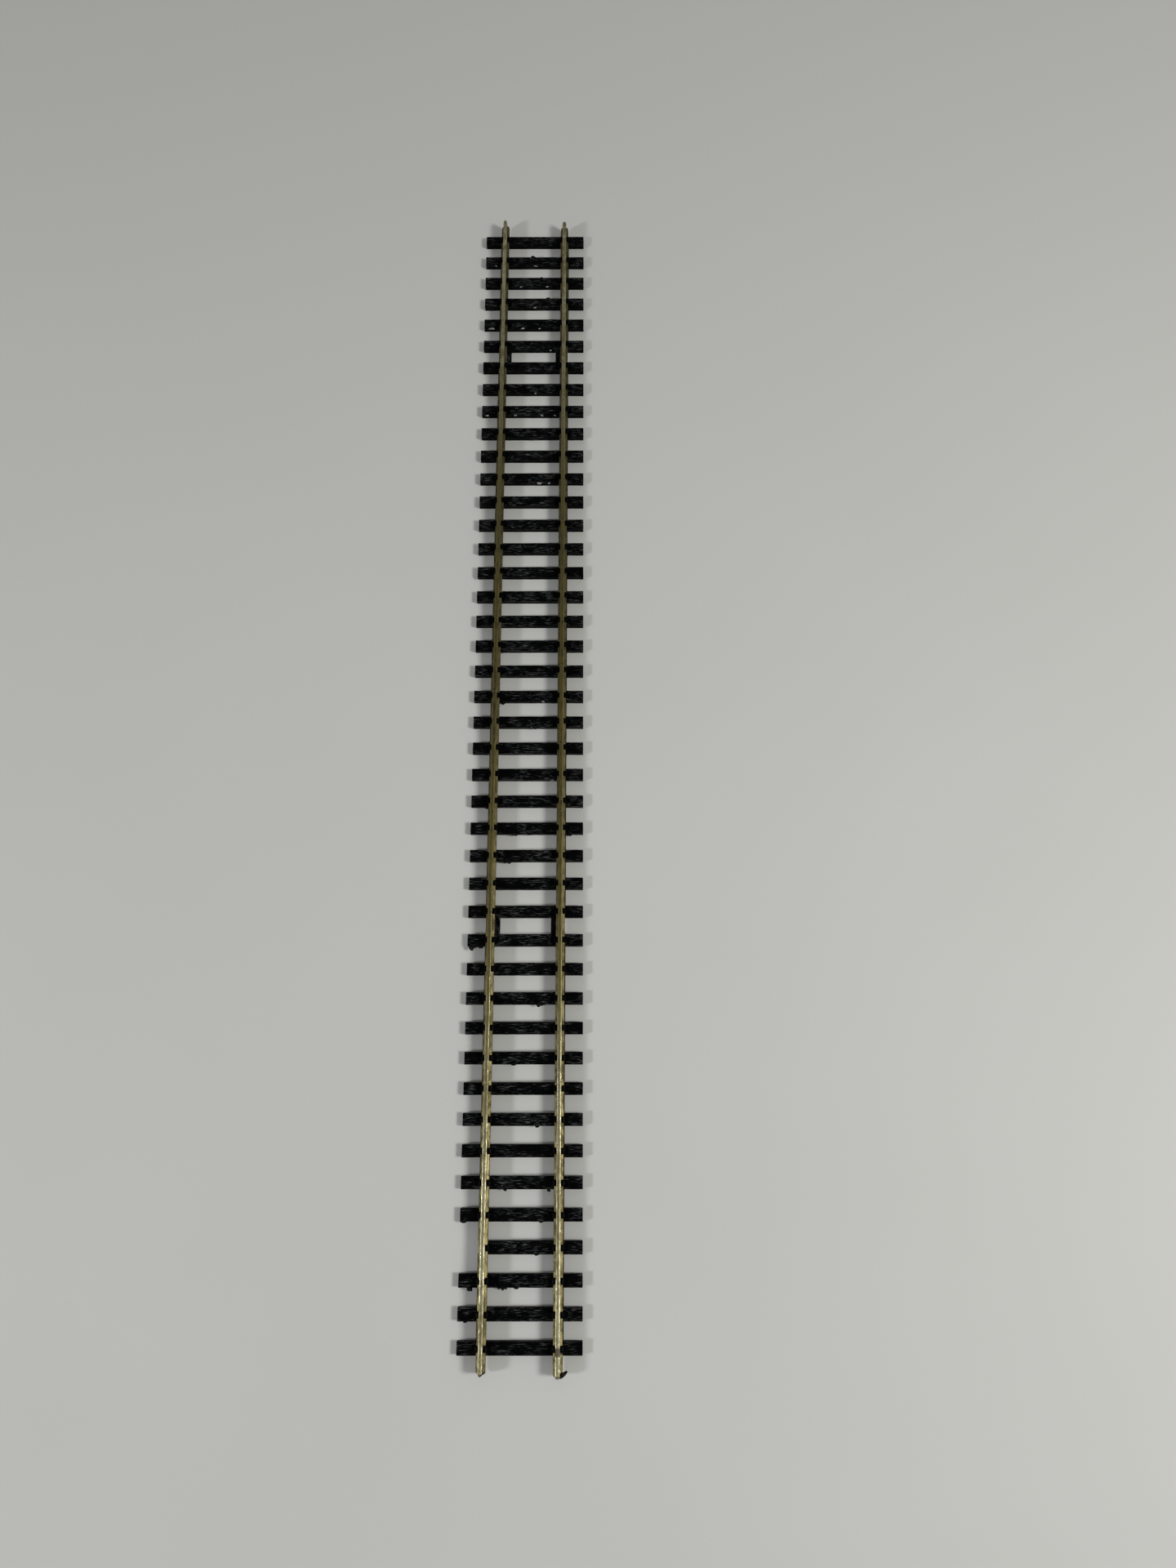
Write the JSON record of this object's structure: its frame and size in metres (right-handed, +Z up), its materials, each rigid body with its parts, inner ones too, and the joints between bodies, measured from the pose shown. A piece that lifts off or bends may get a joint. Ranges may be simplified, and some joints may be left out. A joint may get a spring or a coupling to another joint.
{
  "type": "model railway track length",
  "caption": "Straight length of 16.5 mm gauge model railway track: two flat-bottom metal rails held by clips on black moulded plastic sleepers.",
  "frame": {"origin": "under the middle of the track's box, at the sleepers' undersides", "axes": "+X across the track to the right, +Y along the track to the far end at sleeper 1, +Z up"},
  "size_m": [0.029, 0.3136, 0.0042],
  "materials": {
    "sleeper_plastic": "black moulded plastic with fine wood grain, lightly glossy",
    "rail_metal": "drawn nickel silver, streaky and tarnished"
  },
  "bodies": {
    "sleeper_base": {"sleeper_01": "sleeper_plastic", "sleeper_02": "sleeper_plastic", "sleeper_03": "sleeper_plastic", "sleeper_04": "sleeper_plastic", "sleeper_05": "sleeper_plastic", "sleeper_06": "sleeper_plastic", "sleeper_07": "sleeper_plastic", "sleeper_08": "sleeper_plastic", "sleeper_09": "sleeper_plastic", "sleeper_10": "sleeper_plastic", "sleeper_11": "sleeper_plastic", "sleeper_12": "sleeper_plastic", "sleeper_13": "sleeper_plastic", "sleeper_14": "sleeper_plastic", "sleeper_15": "sleeper_plastic", "sleeper_16": "sleeper_plastic", "sleeper_17": "sleeper_plastic", "sleeper_18": "sleeper_plastic", "sleeper_19": "sleeper_plastic", "sleeper_20": "sleeper_plastic", "sleeper_21": "sleeper_plastic", "sleeper_22": "sleeper_plastic", "sleeper_23": "sleeper_plastic", "sleeper_24": "sleeper_plastic", "sleeper_25": "sleeper_plastic", "sleeper_26": "sleeper_plastic", "sleeper_27": "sleeper_plastic", "sleeper_28": "sleeper_plastic", "sleeper_29": "sleeper_plastic", "sleeper_30": "sleeper_plastic", "sleeper_31": "sleeper_plastic", "sleeper_32": "sleeper_plastic", "sleeper_33": "sleeper_plastic", "sleeper_34": "sleeper_plastic", "sleeper_35": "sleeper_plastic", "sleeper_36": "sleeper_plastic", "sleeper_37": "sleeper_plastic", "sleeper_38": "sleeper_plastic", "sleeper_39": "sleeper_plastic", "sleeper_40": "sleeper_plastic", "sleeper_41": "sleeper_plastic", "sleeper_42": "sleeper_plastic", "sleeper_43": "sleeper_plastic", "link_bar_far_left": "sleeper_plastic", "link_bar_far_right": "sleeper_plastic", "link_bar_near_left": "sleeper_plastic", "link_bar_near_right": "sleeper_plastic"},
    "left_rail": {"rail_left": "rail_metal"},
    "right_rail": {"rail_right": "rail_metal"}
  },
  "joints": [
    {"name": "left_rail_slide", "type": "slide", "parent": "sleeper_base", "child": "left_rail", "axis": [0, 1, 0], "range_m": [-0.0044, 0.0046]},
    {"name": "right_rail_slide", "type": "slide", "parent": "sleeper_base", "child": "right_rail", "axis": [0, 1, 0], "range_m": [-0.0038, 0.0033]}
  ]
}
